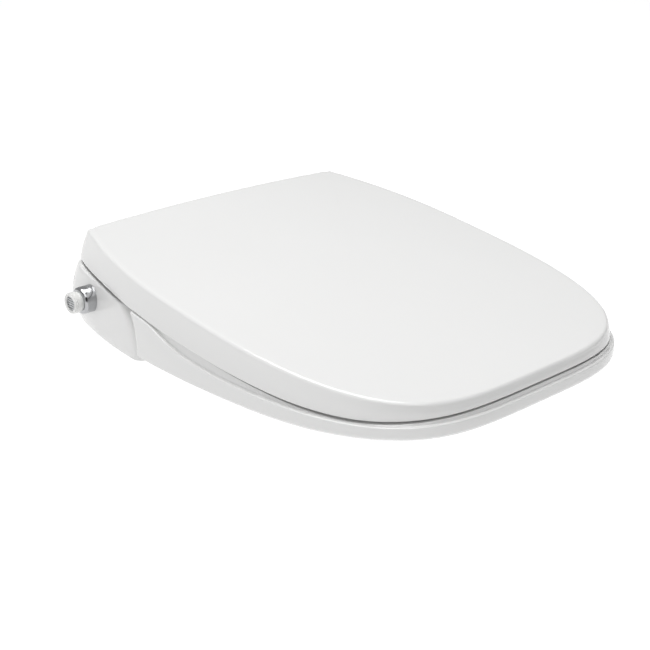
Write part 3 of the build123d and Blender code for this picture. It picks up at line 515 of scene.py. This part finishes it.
def lid_edge_height(loop, out, radius, angle, top):
    """Height of the rounded edge between the lid's top and its wall."""
    here = pushed(loop, out, -radius * (1 - math.cos(angle)))
    share = math.sin(angle)
    return lid_surface(here[:, 0], here[:, 1]) * share + (top - radius) * (1 - share)


def knuckle_outline(radius, foot):
    """A hinge ear seen from the side: a round end that widens into its foot points."""
    turn = np.radians(np.linspace(-35, 215, 26))
    ring = [(HINGE_Y - radius * math.cos(a), HINGE_Z - radius * math.sin(a)) for a in turn]
    return [*ring, *foot]


def build_lid_lugs():
    foot = [(HINGE_Y + 1.0, 92.0), (HINGE_Y - 16, 90.4)]
    for side, word in ((-1, "right"), (1, "left")):
        near, far = (side * x for x in LUG_X)
        lug = extruded(f"lid_lug_{word}", knuckle_outline(LUG_R, foot), near, far, gloss_white, 1.0)
        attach(lug, "lid")


# ---- seat ----------------------------------------------------------------------------------------


def opening_point(angle):
    """Point of the seat's oval opening in the direction angle from its middle."""
    half_length = (OPENING_REAR - OPENING_FRONT) / 2
    c, s = np.cos(angle), np.sin(angle)
    across, along = np.abs(c / OPENING_HALF), np.abs(s / half_length)
    reach = (across**OPENING_POWER + along**OPENING_POWER) ** (-1 / OPENING_POWER)
    return np.c_[reach * c, OPENING_MIDDLE + reach * s]


def seat_loop(rear_y):
    """The seat's outline: the D's sides and front, closed by a straight rear edge at rear_y."""
    dense = d_side(SEAT_GROW)
    side = dense[dense[:, 1] < rear_y]
    corner = np.array([side[0][0], rear_y])
    arc = rounded_corner(corner, (0, rear_y), side[30], SEAT_CORNER_R, 6)
    rest = side[side[:, 1] < arc[-1][1] - COLUMN_GAP]
    # Columns stand on both sides of the tunnel's wall.
    rear_x = np.r_[0, 20, 24.5, 26.0, 27.5, 31, np.linspace(40, arc[0][0] - 4, 16)]
    rear = np.c_[rear_x, np.full(len(rear_x), rear_y)]
    return mirrored_loop(np.vstack([rear, arc, resample(np.vstack([arc[-1], rest]), 140)[1:]]))


def build_seat():
    rear_y = float(seam_y(SEAM_MIDDLE_Z))
    loop = seat_loop(rear_y)
    out = normals_of(loop)
    x, y = loop[:, 0], loop[:, 1]
    lean = smooth_step(y, rear_y - SEAT_LEAN, rear_y)  # how much a column follows the leaning seam
    in_tunnel = (np.abs(x) < TUNNEL_HALF) & (y > rear_y - 1)
    side_top = np.minimum(seat_side_top(y), lid_low(y) - 0.25)
    rise, rise_from, rise_to = 9, -186, -168  # the rear edge rises inwards from the sides
    at_seam = np.minimum(side_top + smooth_step(-np.abs(x), rise_from, rise_to) * rise, SEAT_CEILING)
    side_top = np.where(y > rear_y - 0.5, at_seam, side_top)
    bottom = np.where(in_tunnel, TUNNEL_TOP, seat_skirt(y))
    rim = opening_point(np.arctan2(y - OPENING_MIDDLE, x))
    rim_out = (rim - [0, OPENING_MIDDLE]) / np.linalg.norm(rim - [0, OPENING_MIDDLE], axis=1)[:, None]
    rings = []

    def ring(offset, z):
        z = np.broadcast_to(z, x.shape).astype(float)
        flat = pushed(loop, out, offset)
        shift = lean * (seam_y(z) - rear_y)
        rings.append(np.c_[flat[:, 0], flat[:, 1] + shift, z])

    # The lip around the closing plate, the rounded lower edge and the side.
    edge = SEAT_REAR_EDGE_R + (SEAT_FRONT_EDGE_R - SEAT_REAR_EDGE_R) * smooth_step(-y, 150, 260)
    deep = -np.maximum(edge, 1) - SEAT_LIP + 1
    ring(deep, np.maximum(bottom + 2.7, SEAT_PLATE_TOP))
    ring(deep, bottom + 0.4)
    ring(deep + 0.4, bottom)
    for step in range(7):
        angle = math.radians(step * 15)
        ring(-edge * (1 - math.sin(angle)), bottom + edge * (1 - math.cos(angle)))
    for t in (0.3, 0.6, 0.85, 1.0):
        ring(0, (bottom + edge) * (1 - t) + (side_top - LEDGE_R) * t)
    # A small rounded edge, a steep band up to just under the lid's lip, then the raised ring.
    slit = 0.25 + 1.35 * smooth_step(-y, 118, 165) + 0.9 * smooth_step(-y, 200, 350)
    under_lip = np.maximum(lid_low(y) - slit, side_top)
    for turn in range(1, 7):
        angle = math.radians(turn * 15)
        ring(-LEDGE_R * (1 - math.cos(angle)), side_top - LEDGE_R * (1 - math.sin(angle)))
    for inset, share in ((2.1, 0.01), (2.7, 0.04), (3.15, 0.15), (3.5, 0.4), (3.75, 0.72), (4.1, 1.0)):
        ring(-inset, side_top * (1 - share) + under_lip * share)
    ring(-5.2, under_lip)
    start = rings[-1][:, :2]
    rim_soft = rim + rim_out * RIM_SOFT
    span = np.linalg.norm(rim_soft - start, axis=1)
    for f in (0.03, 0.07, 0.12, 0.18, 0.25, 0.33, 0.42, 0.52, 0.63, 0.75, 0.87, 1.0):
        flat = start + (rim_soft - start) * f
        distance = span * f
        raised = np.maximum(seat_raised(flat[:, 1]), under_lip * (1 - smooth_step(distance, 3, 14)))
        lift = smooth_step(distance, 0.0, 12)
        dip = RIM_DIP * f**2.5
        rings.append(np.c_[flat, under_lip * (1 - lift) + raised * lift - dip * lift])
    # Around the opening: its rounded rim, its wall and its lower lip.
    crest = rings[-1][:, 2]
    for step in range(1, 8):
        angle = math.radians(step * 90 / 7)
        flat = rim + rim_out * RIM_SOFT * (1 - math.sin(angle))
        rings.append(np.c_[flat, crest - RIM_DEPTH * (1 - math.cos(angle))])
    over_wand = in_tunnel | (np.abs(rim[:, 0]) < 30) & (rim[:, 1] > OPENING_MIDDLE)
    foot = np.where(over_wand, TUNNEL_TOP, seat_skirt(rim[:, 1]))
    foot = np.minimum(foot, crest - 10)
    for t in (0.4, 0.8):
        rings.append(np.c_[rim, (crest - RIM_DEPTH) * (1 - t) + (foot + 2) * t])
    for inset, rise in ((0, 1.0), (0.4, 0.3), (1.2, 0), (SEAT_LIP, 0)):
        rings.append(np.c_[rim + rim_out * inset, foot + rise])
    rings.append(np.c_[rim + rim_out * SEAT_LIP, np.maximum(foot + 0.5, SEAT_PLATE_TOP)])
    faces = ring_faces(len(rings), len(loop), closed_section=True)
    seat = make_object("seat_ring", np.vstack(rings), faces, gloss_white, CREASE_ANGLE)
    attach(seat, "seat")
    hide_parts("seat_top")


def build_seat_arms():
    foot = [(HINGE_Y - 6, HINGE_Z - 8.0), (-60, 65), (-80, 60.5), (-86, 52), (-116, 50), (-111, 56.5),
            (-70, 76.8), (HINGE_Y - 6, HINGE_Z + 7.2)]
    turn = np.radians(np.linspace(-120, 120, 26))
    ring = [(HINGE_Y + ARM_R * math.cos(a), HINGE_Z + ARM_R * math.sin(a)) for a in turn]
    for side, word in ((-1, "right"), (1, "left")):
        near, far = (side * x for x in ARM_X)
        arm = extruded(f"seat_arm_{word}", [*ring, *foot[::-1]], near, far, gloss_white, 1.2)
        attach(arm, "seat")


# ---- housing -------------------------------------------------------------------------------------

cover_dense = {height: curve_through(points, 900) for height, points in COVER_SECTIONS.items()}
shoulder_dense = curve_through(SHOULDER, 900)


def shoulder_height(y):
    """Height of the housing's top along y, where it is a single value."""
    order = np.argsort(shoulder_dense[:, 0])
    return np.interp(y, shoulder_dense[order, 0], shoulder_dense[order, 1])


def cover_outline(z, front_radius):
    """The housing's closed outline at height z, with the same number of points at every height."""
    low, mid, high = (resample(line, 500) for line in cover_dense.values())
    # A parabola through the three sections; the middle one stands at 0.515 of the top one's height.
    top_z, mid_share, rest_share = 66, 0.515, 0.485
    t = np.clip(z / top_z, 0, 1)
    low_part = (t - mid_share) * (t - 1) / mid_share
    mid_part = t * (1 - t) / (mid_share * rest_share)
    high_part = t * (t - mid_share) / rest_share
    side = low * low_part + mid * mid_part + high * high_part
    front = float(seam_y(z)) + COVER_GAP
    side = side[side[:, 1] > front]
    corner = np.array([side[-1][0], front])
    arc = rounded_corner(corner, side[-40], (0, front), front_radius, 9)
    keep = side[side[:, 1] > arc[0][1] + COLUMN_GAP]
    line = np.c_[np.linspace(arc[-1][0], 0, 16)[1:], np.full(15, front)]
    return mirrored_loop(np.vstack([resample(np.vstack([keep, arc[0]]), 90)[:-1], arc, line]))


def build_cover():
    base = cover_outline(SEAM_MIDDLE_Z, 6)
    columns = len(base)
    rear = smooth_step(base[:, 1], 10, 44)
    top_line = shoulder_height(base[:, 1]) * (1 - rear) + COVER_TOP * rear
    radius = COVER_EDGE_R * (1 - rear) + COVER_REAR_EDGE_R * rear
    levels = np.linspace(-1, 70, 30)
    corner_radii = np.interp(levels, COVER_CORNER_Z, COVER_CORNER_R)
    stack = np.array([cover_outline(level, corner) for level, corner in zip(levels, corner_radii)])
    rings = []

    def ring(z, inset):
        """A ring whose columns may each have their own height and inset."""
        z = np.broadcast_to(z, (columns,)).astype(float)
        flat = np.empty((columns, 2))
        for i in range(columns):
            flat[i] = [np.interp(z[i], levels, stack[:, i, axis]) for axis in (0, 1)]
        rings.append(np.c_[pushed(flat, normals_of(flat), -np.broadcast_to(inset, (columns,))), z])

    # The inside of the lower edge, the edge, the wall, the rounded shoulder and the deck.
    inner_top, foot = 13.0, 1.2
    for z, inset in ((inner_top, COVER_WALL), (0.6, COVER_WALL), (0, COVER_WALL - 0.6), (0, 1), (0.35, 0.3)):
        ring(z, inset)
    ring(foot, 0)
    start = top_line - radius
    for t in (0.12, 0.26, 0.42, 0.58, 0.74, 0.88, 1.0):
        ring(foot + (start - foot) * t, 0)
    for step in range(1, 9):
        angle = math.radians(step * 90 / 8)
        ring(start + radius * math.sin(angle), radius * (1 - math.cos(angle)))
    rim = rings[-1]
    for t in (0.96, 0.9, 0.8, 0.66, 0.5, 0.33, 0.16):
        flat = COVER_MIDDLE + (rim[:, :2] - COVER_MIDDLE) * t
        deck = np.minimum(shoulder_height(flat[:, 1]), COVER_TOP)
        weight = smooth_step(np.full(columns, 1 - t), 0, 0.2)
        rings.append(np.c_[flat, rim[:, 2] * (1 - weight) + deck * weight])
    deck_middle = float(shoulder_height(COVER_MIDDLE[1]))
    cover = bowl_mesh(
        "housing_shell", rings, (*COVER_MIDDLE, inner_top), (*COVER_MIDDLE, deck_middle),
        gloss_white, CREASE_ANGLE,
    )
    port_outline = [(-104, 7), (-70, 16), (-70, 36), (-104, 27)]
    cut_away(cover, extruded("port_cutter", port_outline, -11.8, 11.8, satin_white, 0.8))
    shade(cover, CREASE_ANGLE)
    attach(cover, "chassis")
    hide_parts("housing_cover")


def build_barrel():
    """The hinge barrel along the housing's back and the web that carries it."""
    turn = np.radians(np.linspace(-118, 128, 34))
    ring = [(HINGE_Y + BARREL_R * math.cos(a), HINGE_Z + BARREL_R * math.sin(a)) for a in turn]
    foot = [(6, 84.3), (-10, 57), (14, 57), (14, 68)]
    barrel = extruded("hinge_barrel", [*ring, *foot], -BARREL_HALF, BARREL_HALF, gloss_white, 0.9)
    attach(barrel, "chassis")


# ---- water inlet ---------------------------------------------------------------------------------

INLET_Y, INLET_Z = -5.5, 37.5
INLET_INNER, INLET_OUTER = 158, 192.5  # the chrome body's ends
BORE_R = 7.1
THREAD_R = 10.48
THREAD_START, THREAD_LENGTH = 194.0, 8.0
THREAD_PITCH, THREAD_DEPTH = 1.814, 1.1
THREAD_FADE_IN, THREAD_FADE_OUT = 0.8, 1.2
CREST_GAP, RIDGE_SHARE = 0.02, 0.9  # crests just inside the CAD cylinder, grooves just above the root
THREAD_END_R = 8.6


def build_inlet():
    origin = (0, INLET_Y, INLET_Z)
    profile = [
        (INLET_INNER, BORE_R), (INLET_INNER, 13.0), (171, 13.0), (172.2, 13.18), (189.4, 13.1), (191.2, 12.7),
        (192.1, 11.9), (INLET_OUTER, 11.0), (INLET_OUTER, BORE_R), (INLET_INNER, BORE_R),
    ]
    body = lathe("inlet_chrome", profile, origin, (-1, 0, 0), chrome, segments=96, smooth_angle=35)
    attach(body, "chassis")
    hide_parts("inlet_body")
    build_thread(origin)


def build_thread(origin):
    """The threaded end: one helical ridge from root to crest, closed by its bore."""
    around, rows = 72, 64
    end = THREAD_START + THREAD_LENGTH
    root = THREAD_R - THREAD_DEPTH
    verts = []

    def add_vert(along, i, radius):
        turn = 2 * math.pi * i / around
        verts.append((-along, origin[1] + radius * math.cos(turn), origin[2] + radius * math.sin(turn)))

    for row in range(rows + 1):
        along = THREAD_START + THREAD_LENGTH * row / rows
        fade = max(min(1, (end - along) / THREAD_FADE_OUT, (along - THREAD_START) / THREAD_FADE_IN), 0)
        for i in range(around):
            phase = (along / THREAD_PITCH - i / around) % 1.0
            ridge = 1 - abs(2 * phase - 1)
            crest = THREAD_R - CREST_GAP - THREAD_DEPTH * (1 - ridge) * RIDGE_SHARE
            add_vert(along, i, crest * fade + root * (1 - fade))
    for along, radius in ((end, THREAD_END_R), (end - 0.5, BORE_R), (THREAD_START, BORE_R)):
        for i in range(around):
            add_vert(along, i, radius)
    faces = ring_faces(rows + 4, around, closed_section=True)
    thread = make_object("inlet_threaded_end", verts, faces, thread_white, 35)
    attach(thread, "chassis")
    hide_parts("inlet_thread")


build_lid()
build_lid_lugs()
build_seat()
build_seat_arms()
build_cover()
build_barrel()
build_inlet()


# ---- floor, light and camera ---------------------------------------------------------------------

FLOOR_REACH = 60.0  # metres, so that its edge stays out of sight from the front
FLOOR_GREY, FLOOR_GLOW = 0.2, 0.9
LIGHT_TARGET = (0, -0.18, 0.05)
SURROUND_REAR, SURROUND_FRONT = 0.4, 0.0
DARK_DIRECTION = (0.1, -0.9, 0.4)
# The photograph's viewing angle.
CAMERA_PLACE, CAMERA_AIM = (-0.7751, -1.0039, 0.4779), (0.6181, 0.6884, -0.3797)
CAMERA_SENSOR, CAMERA_LENS = 36.0, 71.0


def build_stage():
    """A plain floor that glows, so that it stays pale and the object's shadow faint."""
    mesh = bpy.data.meshes.new("floor")
    corners = [(x * FLOOR_REACH, y * FLOOR_REACH, 0) for x, y in ((-1, -1), (1, -1), (1, 1), (-1, 1))]
    mesh.from_pydata(corners, [], [(0, 1, 2, 3)])
    floor = bpy.data.objects.new("floor", mesh)
    bpy.context.scene.collection.objects.link(floor)
    material = plain_material("floor_white", (FLOOR_GREY,) * 3, 1.0)
    shader = material.node_tree.nodes["Principled BSDF"]
    shader.inputs["Specular IOR Level"].default_value = 0.0
    shader.inputs["Emission Color"].default_value = (1, 1, 1, 1)
    shader.inputs["Emission Strength"].default_value = FLOOR_GLOW
    mesh.materials.append(material)
    floor.location.z = -0.0002


def area_light(name, place, size, power):
    """A disc of light that faces the object."""
    data = bpy.data.lights.new(name, "AREA")
    data.shape = "DISK"
    data.size = size
    data.energy = power
    lamp = bpy.data.objects.new(name, data)
    lamp.location = place
    lamp.rotation_euler = (Vector(LIGHT_TARGET) - Vector(place)).to_track_quat("-Z", "Y").to_euler()
    bpy.context.scene.collection.objects.link(lamp)


def build_light():
    """A grey surround that darkens to the front, with lights on the user's right, above and in front."""
    world = bpy.data.worlds.new("studio")
    world.use_nodes = True
    nodes, links = world.node_tree.nodes, world.node_tree.links
    place = nodes.new("ShaderNodeTexCoord")
    facing = nodes.new("ShaderNodeVectorMath")
    facing.operation = "DOT_PRODUCT"
    facing.inputs[1].default_value = Vector(DARK_DIRECTION).normalized()
    links.new(place.outputs["Generated"], facing.inputs[0])
    shade_range = nodes.new("ShaderNodeMapRange")
    shade_range.interpolation_type = "SMOOTHSTEP"
    shade_range.inputs["From Min"].default_value = 0.0
    shade_range.inputs["From Max"].default_value = 0.9
    shade_range.inputs["To Min"].default_value = SURROUND_REAR
    shade_range.inputs["To Max"].default_value = SURROUND_FRONT
    links.new(facing.outputs["Value"], shade_range.inputs["Value"])
    background = nodes["Background"]
    background.inputs["Color"].default_value = (1, 1, 1, 1)
    links.new(shade_range.outputs["Result"], background.inputs["Strength"])
    bpy.context.scene.world = world
    area_light("key_left", (-2.0, -0.9, 0.9), 1.3, 3)
    area_light("overhead", (-0.1, 0.2, 2.4), 1.8, 46)
    area_light("front", (-0.5, -1.2, 2.0), 1.8, 15)


def build_camera():
    data = bpy.data.cameras.new("camera")
    data.sensor_width = CAMERA_SENSOR
    data.lens = CAMERA_LENS
    camera = bpy.data.objects.new("camera", data)
    camera.location = CAMERA_PLACE
    camera.rotation_euler = Vector(CAMERA_AIM).to_track_quat("-Z", "Y").to_euler()
    bpy.context.scene.collection.objects.link(camera)
    bpy.context.scene.camera = camera


build_stage()
build_light()
build_camera()
bpy.context.scene.view_settings.view_transform = "Standard"
